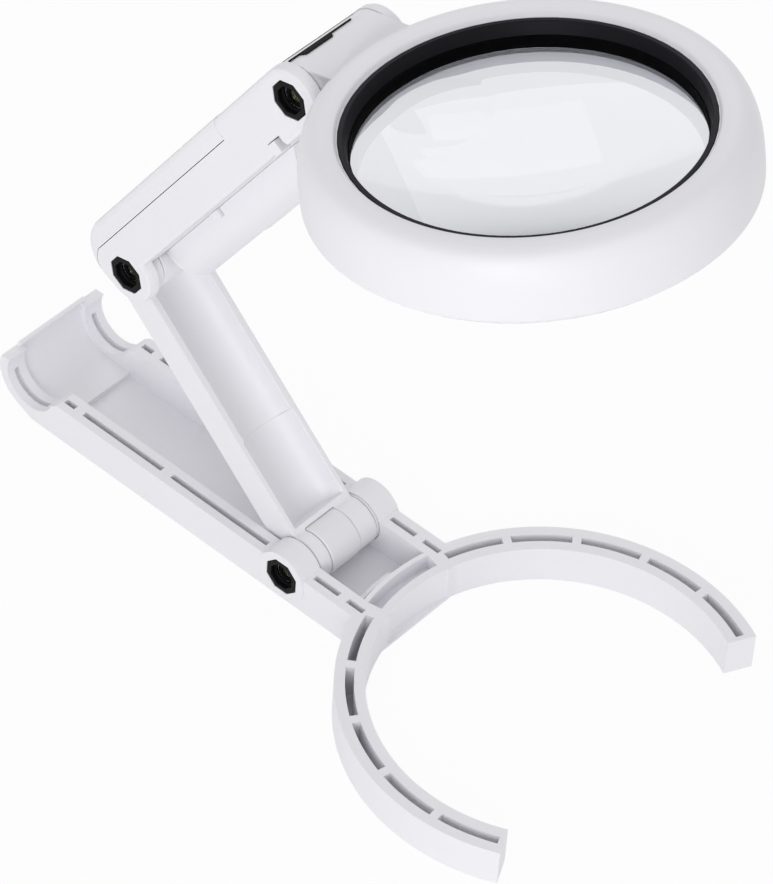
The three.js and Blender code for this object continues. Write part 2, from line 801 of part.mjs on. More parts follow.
function headHousing() {
  const { neckTop, neckRadius, neckHalf, skirt, bushRadius, bushInner } = head;
  const { notchSpan, notchDepth, notchFoot, leadRadius, leadY, leadZ } = head;
  const neckEnd = headReach - lensTubeRadius;
  const profile = new THREE.Shape();
  profile.absarc(0, 0, neckRadius, quarterTurn, -quarterTurn, false);
  profile.lineTo(neckEnd, skirt);
  profile.lineTo(neckEnd, neckTop);
  const outside = neckHalf + overrun;
  return cut(
    join(cut(sideways(profile, -neckHalf, neckHalf, 16), headInside()), headShell()),
    drum(screwHole, [-outside, outside], 0, 0, 16),
    bothSides((side) => drum(bushRadius + clearance, span(side, bushInner, outside), 0, 0, 16)),
    bothSides((side) => drum(upperArm.bossRadius + clearance, span(side, neckHalf, cheekOuter + clearance))),
    block([-neckRadius - overrun, notchDepth - neckRadius], notchSpan, [notchFoot, neckRadius]),
    rod(leadRadius, [-neckRadius - overrun, neckEnd + wall], leadY, leadZ, 16),
  );
}

function headBush(side) {
  const { bushRadius, bushInner, neckHalf } = head;
  const seat = cheekOuter - hardware.headDepth - hardware.headThickness - clearance;
  return cut(
    drum(bushRadius, span(side, bushInner + clearance, neckHalf), 0, 0, 16),
    drum(screwHole, [-neckHalf - overrun, neckHalf + overrun], 0, 0, 16),
    drum(headHole, span(side, seat, neckHalf + overrun), 0, 0, 16),
  );
}

// The black bezel that holds the lens down on its flange
const bezel = { lipWidth: 1.8, lipDrop: 0.6, width: 3.2, bottom: 0.7 };

function bezelRing() {
  const outer = lensTubeRadius - clearance;
  const lip = outer - bezel.lipWidth;
  return revolve(
    [
      [outer, head.tubeTop],
      [lip, head.tubeTop],
      [lip - bezel.lipDrop / 2, head.tubeTop - bezel.lipDrop],
      [outer - bezel.width, bezel.bottom],
      [outer, bezel.bottom],
    ],
    headReach,
  );
}

// The main lens and the small strong lens let into it
const lens = { radius: lensTubeRadius - 1.7, edge: 4, sag: 4, middle: -1.75, rings: 4 };
const spotLens = { radius: 16.5, margin: 4.1, edge: 7.4, sag: 1.1, rings: 3 };
const spotOffset = lens.radius - spotLens.radius - spotLens.margin;

function lensBody({ radius, edge, sag, rings }, middle, x, segments) {
  const sphere = (radius ** 2 + sag ** 2) / (2 * sag);
  const bulge = (r) => sag - sphere + Math.sqrt(sphere ** 2 - r ** 2) + edge / 2;
  const radii = Array.from({ length: rings + 1 }, (_, i) => (radius * i) / rings);
  const upper = radii.map((r) => new THREE.Vector2(r, middle + bulge(r)));
  const lower = radii.map((r) => new THREE.Vector2(r, middle - bulge(r)));
  const points = [...lower, ...upper.reverse()];
  return solid(new THREE.LatheGeometry(points, segments).rotateX(quarterTurn).translate(x, 0, 0));
}

function pillar(radius, [from, to], x, y, sides = 24) {
  const bar = new THREE.CylinderGeometry(radius, radius, to - from, sides).rotateX(quarterTurn);
  return solid(bar.translate(x, y, (from + to) / 2));
}

function mainLens() {
  const reach = lens.edge + lens.sag;
  const hole = pillar(spotLens.radius + clearance, [-2 * reach, reach], headReach - spotOffset, 0, 24);
  return cut(lensBody(lens, lens.middle, headReach, 48), hole);
}

// The light: a ring board with its lamps, the ring that carries it, and a milky cover below
const light = {
  count: 8,
  windowRadius: 3.2,
  lampSide: 4,
  boardThickness: 1.4,
  innerWall: 1.8,
  innerTop: -6.5,
  shelfTop: -9.9,
  shelfThickness: 1.6,
  bottom: -13.7,
  coverThickness: 1.5,
};
// The ring's radii as shares of the skin's width, from the lens tube outwards
const ringShares = {
  inner: -0.054,
  cover: [0.115, 0.623],
  board: [0.123, 0.685],
  outer: [0.938, 0.731],
  lamps: 0.369,
};
const atRing = (share) => lensTubeRadius + skinWidth * share;
const [coverInner, coverOuter] = ringShares.cover.map(atRing);
const lampCircle = atRing(ringShares.lamps);
const shelfBottom = light.shelfTop - light.shelfThickness;
const lampPlaces = Array.from({ length: light.count }, (_, i) => {
  const angle = ((i + 0.5) / light.count) * 2 * Math.PI;
  return [headReach + lampCircle * Math.cos(angle), lampCircle * Math.sin(angle), angle];
});

function lightRing() {
  const { innerWall, innerTop, shelfTop, bottom, windowRadius } = light;
  const inner = atRing(ringShares.inner);
  const [outerTop, outerBottom] = ringShares.outer.map(atRing);
  const seam = head.skirt - clearance;
  const ring = revolve(
    [
      [outerTop, seam],
      [outerBottom, bottom],
      [coverOuter, bottom],
      [coverOuter, shelfBottom],
      [coverInner, shelfBottom],
      [coverInner, bottom],
      [inner, bottom],
      [inner, innerTop],
      [inner + innerWall, innerTop],
      [inner + innerWall, shelfTop],
      [coverOuter, shelfTop],
      [outerTop - wall, seam],
    ],
    headReach,
  );
  const height = [shelfBottom - overrun, shelfTop + overrun / 2];
  return cut(ring, ...lampPlaces.map(([x, y]) => pillar(windowRadius, height, x, y, 12)));
}

// A flat ring about the lens axis.
function flatRing([inner, outer], [low, high], segments) {
  return revolve(
    [
      [inner, low],
      [outer, low],
      [outer, high],
      [inner, high],
    ],
    headReach,
    segments,
  );
}

function lightBoard() {
  const low = light.shelfTop + clearance;
  return flatRing(ringShares.board.map(atRing), [low, low + light.boardThickness], 40);
}

function lamp([x, y, angle]) {
  const { lampSide, shelfTop } = light;
  const height = shelfTop - shelfBottom - clearance;
  const body = new THREE.BoxGeometry(lampSide, lampSide, height).rotateZ(angle);
  return solid(body.translate(x, y, shelfTop - height / 2));
}

function lightCover() {
  const high = shelfBottom - clearance;
  return flatRing([coverInner + clearance, coverOuter - clearance], [high - light.coverThickness, high]);
}

// The scene graph: each hinge is a group turned about its axis
function hingeGroup(parent, x, z, turn = 0) {
  const group = new THREE.Group();
  group.position.set(x, 0, z);
  group.rotation.y = turn * degree;
  parent.add(group);
  return group;
}

const magnifier = new THREE.Group();
magnifier.add(mesh("foot_cradle", footCradle(), whiteShell));
hingeGroup(magnifier, 0, hingeHeight).add(...hingeHardware("base_hinge", foot.bossOuter));

const lowerGroup = hingeGroup(magnifier, 0, hingeHeight, baseFold);
const baseBush = [lowerArmHalfWidth + clearance, foot.bossInner - clearance];
lowerGroup.add(
  mesh("lower_arm", lowerArmBar(), whiteShell),
  mesh("base_friction_sleeve", frictionSleeve(), nylon),
  mesh("base_bush_near", bush(-1, foot.bushRadius, baseBush, foot.bossOuter), nylon),
  mesh("base_bush_far", bush(1, foot.bushRadius, baseBush, foot.bossOuter), nylon),
);
const elbowBush = [lowerArmHalfWidth + clearance, cheekInner - clearance];
hingeGroup(lowerGroup, foldedElbowX, elbowRise).add(
  mesh("elbow_bush_near", bush(-1, lowerArm.elbowRadius, elbowBush, cheekOuter), nylon),
  mesh("elbow_bush_far", bush(1, lowerArm.elbowRadius, elbowBush, cheekOuter), nylon),
);

const upperGroup = hingeGroup(lowerGroup, foldedElbowX, elbowRise, -elbowFold);
const shell = upperArmShell();
const contactPlaces = [cellEnds[0] - contactGap, cellEnds[1] + clearance];
upperGroup.add(
  mesh("upper_arm_housing", upperHousing(shell), whiteShell),
  mesh("battery_cover", batteryCover(shell), whiteShell),
  mesh("belly_housing", bellyHousing(), whiteShell),
  mesh("battery_tray", batteryTray(), blackTrim),
  mesh("battery_contact_lower", contactPlate(contactPlaces[0]), steel),
  mesh("battery_contact_upper", contactPlate(contactPlaces[1]), steel),
  mesh("driver_board", driverBoard(), boardGreen),
  mesh("switch_body", switchBody(), blackTrim),
  mesh("switch_tab", switchTab(), whiteShell),
  ...cellRows.map((y, i) => mesh("battery_cell_" + (i + 1), cell(y), cellWrap)),
  ...hingeHardware("elbow", cheekOuter),
);
hingeGroup(upperGroup, headHingeReach, headHingeRise).add(...hingeHardware("head_hinge", cheekOuter));

const headGroup = hingeGroup(upperGroup, headHingeReach, headHingeRise, headFold);
const spotX = headReach - spotOffset;
headGroup.add(
  mesh("head_bush_near", headBush(-1), nylon),
  mesh("head_bush_far", headBush(1), nylon),
  mesh("head_housing", headHousing(), whiteShell),
  mesh("lens_bezel", bezelRing(), blackTrim),
  mesh("main_lens", mainLens(), clearPlastic),
  mesh("spot_lens", lensBody(spotLens, lens.middle, spotX, 24), clearPlastic),
  mesh("light_ring", lightRing(), whiteShell),
  mesh("light_board", lightBoard(), boardWhite),
  mesh("light_cover", lightCover(), milkyPlastic),
  ...lampPlaces.map((place, i) => mesh("lamp_" + (i + 1), lamp(place), ledYellow)),
);

export default magnifier;
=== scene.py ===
import math

import bmesh
import bpy
from mathutils import Matrix, Vector


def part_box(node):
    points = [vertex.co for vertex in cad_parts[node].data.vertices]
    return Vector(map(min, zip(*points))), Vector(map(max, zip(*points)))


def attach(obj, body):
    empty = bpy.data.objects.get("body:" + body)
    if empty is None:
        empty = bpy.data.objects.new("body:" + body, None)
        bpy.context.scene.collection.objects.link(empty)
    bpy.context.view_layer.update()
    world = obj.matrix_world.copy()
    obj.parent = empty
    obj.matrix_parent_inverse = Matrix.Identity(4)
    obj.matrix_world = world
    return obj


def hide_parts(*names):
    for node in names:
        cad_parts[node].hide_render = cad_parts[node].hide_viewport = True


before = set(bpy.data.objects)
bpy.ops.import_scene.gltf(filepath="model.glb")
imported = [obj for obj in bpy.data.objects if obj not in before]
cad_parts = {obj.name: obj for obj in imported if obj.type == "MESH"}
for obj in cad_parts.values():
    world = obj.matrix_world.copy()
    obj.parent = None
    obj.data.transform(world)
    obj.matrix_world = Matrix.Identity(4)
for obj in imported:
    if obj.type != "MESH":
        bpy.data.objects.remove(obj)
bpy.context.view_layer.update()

# The view: a long lens looks down over the foot's ring from the near side.
# Its place was solved from the object's own circles and parallel edges.
MM = 0.001
camera_data = bpy.data.cameras.new("photo_camera")
camera_data.sensor_width = 36.0
camera_data.lens = 194.1
camera_data.clip_start, camera_data.clip_end = 0.05, 20
camera = bpy.data.objects.new("photo_camera", camera_data)
bpy.context.scene.collection.objects.link(camera)
bpy.context.scene.camera = camera
view_azimuth, view_elevation, view_roll = (math.radians(a) for a in (38.98, 45.95, 4.27))
view_target, view_distance = Vector((21.65, 0, 74.96)) * MM, 1571.3 * MM
view_back = Vector((
    math.sin(view_azimuth) * math.cos(view_elevation),
    -math.cos(view_azimuth) * math.cos(view_elevation),
    math.sin(view_elevation),
))
camera.rotation_mode = "QUATERNION"
camera.location = view_target + view_back * view_distance
camera_aim = (-view_back).to_track_quat("-Z", "Y").to_matrix()
camera.rotation_quaternion = (camera_aim @ Matrix.Rotation(view_roll, 3, "Z")).to_quaternion()


# The studio: an even pale surround, a large softbox in front of the object, a small one low
# beside it and a weak one behind. To the camera, in gloss and through the lens the surround
# shows as plain white.
def white_to_the_eye(tree):
    path = tree.nodes.new("ShaderNodeLightPath")
    seen = path.outputs["Is Camera Ray"]
    for ray in ("Is Glossy Ray", "Is Transmission Ray"):
        either = tree.nodes.new("ShaderNodeMath")
        either.operation = "MAXIMUM"
        tree.links.new(seen, either.inputs[0])
        tree.links.new(path.outputs[ray], either.inputs[1])
        seen = either.outputs[0]
    return seen


bpy.context.scene.view_settings.view_transform = "Standard"
world = bpy.data.worlds.new("pale_studio")
bpy.context.scene.world = world
world.use_nodes = True
world_tree = world.node_tree
world_tree.nodes.clear()
surround_strengths = {"fill": 0.68, "plain_white": 1.0}
surrounds = []
for surround_name, strength in surround_strengths.items():
    surround = world_tree.nodes.new("ShaderNodeBackground")
    surround.name = surround_name
    surround.inputs["Color"].default_value = (1.0, 1.0, 1.0, 1.0)
    surround.inputs["Strength"].default_value = strength
    surrounds.append(surround)
fill, plain_white = surrounds
surround_mix = world_tree.nodes.new("ShaderNodeMixShader")
world_tree.links.new(white_to_the_eye(world_tree), surround_mix.inputs["Fac"])
world_tree.links.new(fill.outputs[0], surround_mix.inputs[1])
world_tree.links.new(plain_white.outputs[0], surround_mix.inputs[2])
world_output = world_tree.nodes.new("ShaderNodeOutputWorld")
world_tree.links.new(surround_mix.outputs[0], world_output.inputs["Surface"])
lit_middle = Vector((0.02, 0.0, 0.1))


def softbox(name, place, size, watts):
    data = bpy.data.lights.new(name, "AREA")
    data.shape, data.size, data.size_y, data.energy = "RECTANGLE", size, size, watts
    lamp = bpy.data.objects.new(name, data)
    bpy.context.scene.collection.objects.link(lamp)
    lamp.location = place
    lamp.rotation_mode = "QUATERNION"
    lamp.rotation_quaternion = (lit_middle - Vector(place)).to_track_quat("-Z", "Y")


softbox("front_softbox", place=(0.75, -1.45, 0.62), size=0.9, watts=7.0)
softbox("low_softbox", place=(1.0, -0.95, 0.16), size=0.5, watts=1.3)
softbox("back_softbox", place=(-0.9, 1.0, 1.1), size=0.8, watts=1.5)

# The floor: a plain sheet of white paper under and behind the object. It glows just short of
# plain white to the camera, and keeps a faint shadow under the foot.
half_floor, floor_drop, paper_glow = 6.0, 0.0002, 0.93
floor_corners = ((-1, -1), (1, -1), (1, 1), (-1, 1))
floor_mesh = bpy.data.meshes.new("paper_floor")
floor_mesh.from_pydata(
    [(x * half_floor, y * half_floor, -floor_drop) for x, y in floor_corners], [], [(0, 1, 2, 3)],
)
floor = bpy.data.objects.new("paper_floor", floor_mesh)
bpy.context.scene.collection.objects.link(floor)
paper = bpy.data.materials.new("paper")
paper.use_nodes = True
paper_tree = paper.node_tree
paper_shader = paper_tree.nodes["Principled BSDF"]
paper_shader.inputs["Base Color"].default_value = (0.92, 0.92, 0.925, 1.0)
paper_shader.inputs["Roughness"].default_value = 0.9
paper_shader.inputs["Specular IOR Level"].default_value = 0.0
paper_white = paper_tree.nodes.new("ShaderNodeEmission")
paper_white.inputs["Color"].default_value = (1.0, 1.0, 1.0, 1.0)
paper_share = paper_tree.nodes.new("ShaderNodeMath")
paper_share.operation = "MULTIPLY"
paper_share.inputs[1].default_value = paper_glow
paper_mix = paper_tree.nodes.new("ShaderNodeMixShader")
paper_tree.links.new(white_to_the_eye(paper_tree), paper_share.inputs[0])
paper_tree.links.new(paper_share.outputs[0], paper_mix.inputs["Fac"])
paper_tree.links.new(paper_shader.outputs[0], paper_mix.inputs[1])
paper_tree.links.new(paper_white.outputs[0], paper_mix.inputs[2])
paper_output = paper_tree.nodes["Material Output"]
paper_tree.links.new(paper_mix.outputs[0], paper_output.inputs["Surface"])
floor_mesh.materials.append(paper)


# The foot: one white moulding, an open ring in front that stands on the desk, and behind it two
# slotted rails with a trough between them for the folded arm. It is injected from glossy white
# ABS, whose skin shows a faint cloudiness and the fine grain of the mould.
def shader_group(name, *sockets):
    group = bpy.data.node_groups.new(name, "ShaderNodeTree")
    for label, kind, way in sockets:
        group.interface.new_socket(label, in_out=way, socket_type="NodeSocket" + kind)
    return group, group.nodes.new("NodeGroupInput"), group.nodes.new("NodeGroupOutput")


skin, skin_in, skin_out = shader_group(
    "moulded_skin",
    ("Light Colour", "Color", "INPUT"),
    ("Shade Colour", "Color", "INPUT"),
    ("Cloud Scale", "Float", "INPUT"),
    ("Roughness", "Float", "INPUT"),
    ("Roughness Spread", "Float", "INPUT"),
    ("Grain Scale", "Float", "INPUT"),
    ("Colour", "Color", "OUTPUT"),
    ("Gloss", "Float", "OUTPUT"),
    ("Height", "Float", "OUTPUT"),
)
skin_place = skin.nodes.new("ShaderNodeTexCoord")
cloud = skin.nodes.new("ShaderNodeTexNoise")
cloud.inputs["Detail"].default_value = 3.0
grain = skin.nodes.new("ShaderNodeTexNoise")
grain.inputs["Detail"].default_value = 4.0
grain.inputs["Roughness"].default_value = 0.6
tint = skin.nodes.new("ShaderNodeMix")
tint.data_type = "RGBA"
gloss_spread = skin.nodes.new("ShaderNodeMath")
gloss_spread.operation = "MULTIPLY_ADD"
for source, target in (
    (skin_place.outputs["Object"], cloud.inputs["Vector"]),
    (skin_place.outputs["Object"], grain.inputs["Vector"]),
    (skin_in.outputs["Cloud Scale"], cloud.inputs["Scale"]),
    (skin_in.outputs["Grain Scale"], grain.inputs["Scale"]),
    (cloud.outputs["Fac"], tint.inputs["Factor"]),
    (skin_in.outputs["Light Colour"], tint.inputs[6]),
    (skin_in.outputs["Shade Colour"], tint.inputs[7]),
    (cloud.outputs["Fac"], gloss_spread.inputs[0]),
    (skin_in.outputs["Roughness Spread"], gloss_spread.inputs[1]),
    (skin_in.outputs["Roughness"], gloss_spread.inputs[2]),
    (tint.outputs[2], skin_out.inputs["Colour"]),
    (gloss_spread.outputs[0], skin_out.inputs["Gloss"]),
    (grain.outputs["Fac"], skin_out.inputs["Height"]),
):
    skin.links.new(source, target)


broad_clouds, grain_strength = 28.0, 0.6


def moulded(
    name, light, shade, gloss, spread, grain_scale, grain_depth,
    cloud_scale=broad_clouds, **sockets,
):
    made = bpy.data.materials.new(name)
    made.use_nodes = True
    inside = made.node_tree
    shader = inside.nodes["Principled BSDF"]
    cover = inside.nodes.new("ShaderNodeGroup")
    cover.name = "cover"
    cover.node_tree = skin
    for label, value in (
        ("Light Colour", (*light, 1.0)), ("Shade Colour", (*shade, 1.0)),
        ("Cloud Scale", cloud_scale), ("Grain Scale", grain_scale),
        ("Roughness", gloss), ("Roughness Spread", spread),
    ):
        cover.inputs[label].default_value = value
    bump = inside.nodes.new("ShaderNodeBump")
    bump.inputs["Strength"].default_value = grain_strength
    bump.inputs["Distance"].default_value = grain_depth
    inside.links.new(cover.outputs["Colour"], shader.inputs["Base Color"])
    inside.links.new(cover.outputs["Gloss"], shader.inputs["Roughness"])
    inside.links.new(cover.outputs["Height"], bump.inputs["Height"])
    inside.links.new(bump.outputs["Normal"], shader.inputs["Normal"])
    for label, value in sockets.items():
        shader.inputs[label.replace("_", " ")].default_value = value
    return made


def loose(name, mesh):
    raw = bpy.data.objects.new(name, mesh)
    bpy.context.scene.collection.objects.link(raw)
    return raw


def carve(raw, tool, way):
    change = raw.modifiers.new(way.lower(), "BOOLEAN")
    change.operation, change.solver, change.object = way, "EXACT", tool


def as_mesh(raw):
    evaluated = raw.evaluated_get(bpy.context.evaluated_depsgraph_get())
    finished = bpy.data.meshes.new_from_object(evaluated)
    bpy.data.objects.remove(raw)
    return finished


def on_scene(name, mesh, surface, body, slot_name, *replaced):
    if surface:
        mesh.materials.clear()
        mesh.materials.append(surface)
    piece = bpy.data.objects.new(name, mesh)
    bpy.context.scene.collection.objects.link(piece)
    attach(piece, body)
    if replaced:
        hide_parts(*replaced)
    return piece


def mark_creases(work, degrees):
    for face in work.faces:
        face.smooth = True
    for crease in work.edges:
        joined = len(crease.link_faces) == 2
        crease.smooth = not joined or crease.calc_face_angle() < math.radians(degrees)


same_point, flat_enough, hard_edge = 2e-6, math.radians(0.6), 60.0


def rounded(node, edge=0.4, bend=32.0, segments=2, flatten=True, cutter=None):
    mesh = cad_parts[node].data.copy()
    work = bmesh.new()
    work.from_mesh(mesh)
    bmesh.ops.remove_doubles(work, verts=work.verts, dist=same_point)
    if flatten:
        bmesh.ops.dissolve_limit(
            work, angle_limit=flat_enough, verts=work.verts, edges=work.edges,
        )
    mark_creases(work, hard_edge)
    work.to_mesh(mesh)
    work.free()
    raw = loose(node + "_raw", mesh)
    if cutter:
        carve(raw, cutter, "DIFFERENCE")
    if edge:
        rounding = raw.modifiers.new("rounding", "BEVEL")
        rounding.width = edge * MM
        rounding.segments = segments
        rounding.limit_method = "ANGLE"
        rounding.angle_limit = math.radians(bend)
        rounding.miter_outer = "MITER_ARC"
    levelling = raw.modifiers.new("levelling", "WEIGHTED_NORMAL")
    levelling.keep_sharp = True
    return as_mesh(raw)


def moulding(node, body, surface, slot_name, **finish):
    return on_scene("finished_" + node, rounded(node, **finish), surface, body, slot_name, node)


white_shell = moulded(
    "white_shell", (0.893, 0.884, 0.922), (0.868, 0.859, 0.9),
    gloss=0.34, spread=0.12, grain_scale=2600.0, grain_depth=2e-6,
)

# Between the rails the ring is hollow too: a thin web stands towards the trough, and a wide slot
# lies between it and the ring's inner wall. A core pin of the mould leaves it open at the top.
ring_centre, slot_steps = 101.15, 16
ring_slot = {"inner": 66.3, "outer": 71.7, "half_angle": 12.2, "low": 9.0, "high": 18.0}
slot_angles = [
    math.radians(180.0 + ring_slot["half_angle"] * (2.0 * step / slot_steps - 1.0))
    for step in range(slot_steps + 1)
]
slot_outline = [(ring_slot["outer"], a) for a in slot_angles]
slot_outline += [(ring_slot["inner"], a) for a in slot_angles[::-1]]
slot_work = bmesh.new()
slot_levels = [
    [
        slot_work.verts.new(Vector((ring_centre + r * math.cos(a), r * math.sin(a), level)) * MM)
        for r, a in slot_outline
    ]
    for level in (ring_slot["low"], ring_slot["high"])
]
for level in slot_levels:
    slot_work.faces.new(level)
slot_bottom, slot_top = slot_levels
for i in range(len(slot_outline)):
    j = (i + 1) % len(slot_outline)
    slot_work.faces.new((slot_bottom[i], slot_bottom[j], slot_top[j], slot_top[i]))
bmesh.ops.recalc_face_normals(slot_work, faces=slot_work.faces)
slot_mesh = bpy.data.meshes.new("bridge_slot")
slot_work.to_mesh(slot_mesh)
slot_work.free()
bridge_slot = loose("bridge_slot", slot_mesh)
moulding("foot_cradle", "foot", white_shell, "white_shell", cutter=bridge_slot)
bpy.data.objects.remove(bridge_slot)

# The hinge hardware: a black octagonal dish is pressed into each boss. The head of a cross-slotted
# screw, dulled yellow by its plating, or its nut on the far side, lies at the bottom, and a black
# washer hides the white wall round it.
black_cap = moulded(
    "black_cap", (0.003, 0.003, 0.004), (0.006, 0.006, 0.007),
    gloss=0.4, spread=0.12, grain_scale=2200.0, grain_depth=6e-6, Specular_IOR_Level=0.08,
)
dark_screw = moulded(
    "dark_screw", (0.42, 0.41, 0.26), (0.16, 0.155, 0.10),
    gloss=0.26, spread=0.2, grain_scale=1500.0, grain_depth=8e-6, cloud_scale=420.0, Metallic=1.0,
)
dark_nut = moulded(
    "dark_nut", (0.090, 0.088, 0.082), (0.035, 0.034, 0.033),
    gloss=0.34, spread=0.2, grain_scale=1500.0, grain_depth=8e-6, cloud_scale=360.0, Metallic=1.0,
)
turned_crease = 40.0


def turned(profile, axis_frame, segments=224):
    work = bmesh.new()
    rings = []
    for step in range(segments):
        angle = 2 * math.pi * step / segments
        across, along = math.cos(angle), math.sin(angle)
        rings.append([work.verts.new(Vector((r * across, r * along, z)) * MM) for r, z in profile])
    for step, ring in enumerate(rings):
        following = rings[(step + 1) % segments]
        for i in range(len(profile)):
            j = (i + 1) % len(profile)
            work.faces.new((ring[i], following[i], following[j], ring[j]))
    bmesh.ops.recalc_face_normals(work, faces=work.faces)
    mark_creases(work, turned_crease)
    mesh = bpy.data.meshes.new("turned")
    work.to_mesh(mesh)
    work.free()
    mesh.transform(axis_frame)
    return mesh


washer = ((2.7, 0.05), (3.96, 0.05), (3.96, 0.42), (2.9, 0.42), (2.7, 0.3))
carried_by = {"base_hinge": "foot", "elbow": "upper_arm", "head_hinge": "upper_arm"}
for hinge, hinge_body in carried_by.items():
    for side, outward in (("near", -1), ("far", 1)):
        cap_node = f"{hinge}_cap_{side}"
        moulding(cap_node, hinge_body, black_cap, "black_caps", edge=0.25)
        cap_low, cap_high = (Vector(corner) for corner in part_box(cap_node))
        seat = (cap_low + cap_high) / 2
        seat.y = cap_high.y if outward < 0 else cap_low.y
        facing = Matrix.Translation(seat) @ Matrix.Rotation(outward * math.pi / 2, 4, "X")
        washer_mesh = turned(washer, facing, segments=48)
        on_scene(f"{hinge}_washer_{side}", washer_mesh, black_cap, hinge_body, "black_caps")
    moulding(f"{hinge}_screw", hinge_body, dark_screw, "brass_screws", edge=0.12)
    moulding(f"{hinge}_nut", hinge_body, dark_nut, "steel_parts", edge=0.12)

# The lower arm: a white trough whose hollow takes the belly of the upper arm when folded. Nylon
# bushes turn in its bosses, and a split friction sleeve round its foot keeps the arm where it is
# put.
nylon = moulded(
    "nylon", (0.872, 0.866, 0.897), (0.845, 0.84, 0.872),
    gloss=0.46, spread=0.1, grain_scale=1900.0, grain_depth=4e-6,
)
moulding("lower_arm", "lower_arm", white_shell, "white_shell")
moulding("base_friction_sleeve", "lower_arm", nylon, "nylon", edge=0.3)
for bush in ("base_bush_near", "base_bush_far", "elbow_bush_near", "elbow_bush_far"):
    moulding(bush, "lower_arm", nylon, "nylon", edge=0.2)

# The upper arm: a white battery housing between two cheeks, closed behind by a snap-on cover with a
# thumb dot, and the rounded belly below it that drops into the lower arm's trough. Cover and belly
# are drawn a little larger than their solids, so that their seams close.
elbow_pin, arm_lean = Vector((-76.48, 0, 99.61)) * MM, math.radians(-57.2)
arm_frame = Matrix.Translation(elbow_pin) @ Matrix.Rotation(arm_lean, 4, "Y")
seam_closing = {"battery_cover": 0.24 * MM, "belly_housing": 0.2 * MM}


def let_in(mesh, along, closing):
    places = [along.inverted() @ vertex.co for vertex in mesh.vertices]
    low = Vector([min(place[i] for place in places) for i in range(3)])
    high = Vector([max(place[i] for place in places) for i in range(3)])
    middle = Matrix.Translation((low + high) / 2)
    wide, tall = (1.0 + 2.0 * closing / (high[i] - low[i]) for i in (0, 2))
    wider = Matrix.Diagonal((wide, 1.0, tall, 1.0))
    mesh.transform(along @ middle @ wider @ middle.inverted() @ along.inverted())
    return mesh


moulding("upper_arm_housing", "upper_arm", white_shell, "white_shell", edge=0.35)
for shell, shell_body in (("battery_cover", "battery_cover"), ("belly_housing", "upper_arm")):
    shell_mesh = let_in(rounded(shell, edge=0.35), arm_frame, seam_closing[shell])
    on_scene("finished_" + shell, shell_mesh, white_shell, shell_body, "white_shell", shell)

# The power: three cells with a bare foil sleeve lie in a black tray between nickel plated contacts.
# The green driver board behind them feeds the lamps in the head.
cell_metal = moulded(
    "cell_sleeve", (0.10, 0.27, 0.46), (0.07, 0.21, 0.38),
    gloss=0.32, spread=0.1, grain_scale=900.0, grain_depth=5e-6, cloud_scale=160.0, Metallic=0.6,
)
tray_black = moulded(
    "tray_black", (0.02, 0.02, 0.021), (0.034, 0.034, 0.036),
    gloss=0.5, spread=0.15, grain_scale=1300.0, grain_depth=1.2e-5,
)
nickel = moulded(
    "nickel", (0.66, 0.64, 0.59), (0.52, 0.50, 0.46),
    gloss=0.22, spread=0.18, grain_scale=700.0, grain_depth=4e-6, cloud_scale=240.0, Metallic=1.0,
)
green_mask = moulded(
    "green_mask", (0.03, 0.19, 0.08), (0.02, 0.14, 0.055),
    gloss=0.3, spread=0.15, grain_scale=500.0, grain_depth=1e-5, cloud_scale=190.0,
)
for cell in ("battery_cell_1", "battery_cell_2", "battery_cell_3"):
    moulding(cell, "upper_arm", cell_metal, "cells", edge=0.25)
moulding("battery_tray", "upper_arm", tray_black, "black_inner", edge=0.2)
for contact in ("battery_contact_lower", "battery_contact_upper"):
    moulding(contact, "upper_arm", nickel, "steel_parts", edge=0.08)
moulding("driver_board", "upper_arm", green_mask, "driver_board", edge=0.15)

# The slide switch: a black body fixed inside the near cheek, whose white thumb tab runs in a notch
# of the cheek's front edge.
moulding("switch_body", "upper_arm", tray_black, "black_inner", edge=0.2)
moulding("switch_tab", "switch", white_shell, "white_shell", edge=0.2)

# The head: one white moulding, a domed ring with a lens tube inside and a flat neck at the back,
# which turns on two nylon bushes between the cheeks of the upper arm. The dome is drawn again as a
# smooth turned skin over the solid, and the boss of each cheek keeps its relief in it.
head_pin, head_slope, head_reach = Vector((-8.66, 0, 220.91)) * MM, math.radians(10.8), 78.7
head_frame = Matrix.Translation(head_pin) @ Matrix.Rotation(-head_slope, 4, "Y")
lens_frame = head_frame @ Matrix.Translation(Vector((head_reach, 0, 0)) * MM)
dome_outside = (
    (57.76, 9.7), (58.5, 11.1), (59.8, 11.6), (62.2, 11.95), (64.7, 11.7), (67.25, 10.3),
    (69.05, 7.2), (70.15, 3.0), (70.64, -2.5), (70.64, -9.5), (70.2, -10.9),
)
dome_inside = (
    (69.3, -10.95), (69.4, -5.0), (69.1, 2.0), (68.2, 6.4), (65.6, 9.6), (62.3, 10.5), (58.9, 9.6),
)
at_axis, above_dome = 0.01, 20.0
mouth = (
    (at_axis, 9.72), (57.74, 9.72), (58.5, 11.14), (59.8, 11.69), (62.2, 12.1),
    (62.2, above_dome), (at_axis, above_dome),
)
relief_radius, relief_inner, relief_outer = 11.5, 18.2, 23.0
under_skin, head_same_point, head_crease = (0.998, 0.998, 0.99, 1.0), 1e-6, 38.0


def eased(points, steps=6):
    out = []
    for i in range(len(points) - 1):
        before, start = points[max(i - 1, 0)], points[i]
        end, after = points[i + 1], points[min(i + 2, len(points) - 1)]
        for step in range(steps):
            t = step / steps
            out.append(tuple(
                0.5 * (
                    2 * q + (r - p) * t + (2 * p - 5 * q + 4 * r - w) * t * t
                    + (3 * q - p - 3 * r + w) * t ** 3
                )
                for p, q, r, w in zip(before, start, end, after)
            ))
    return out + [points[-1]]


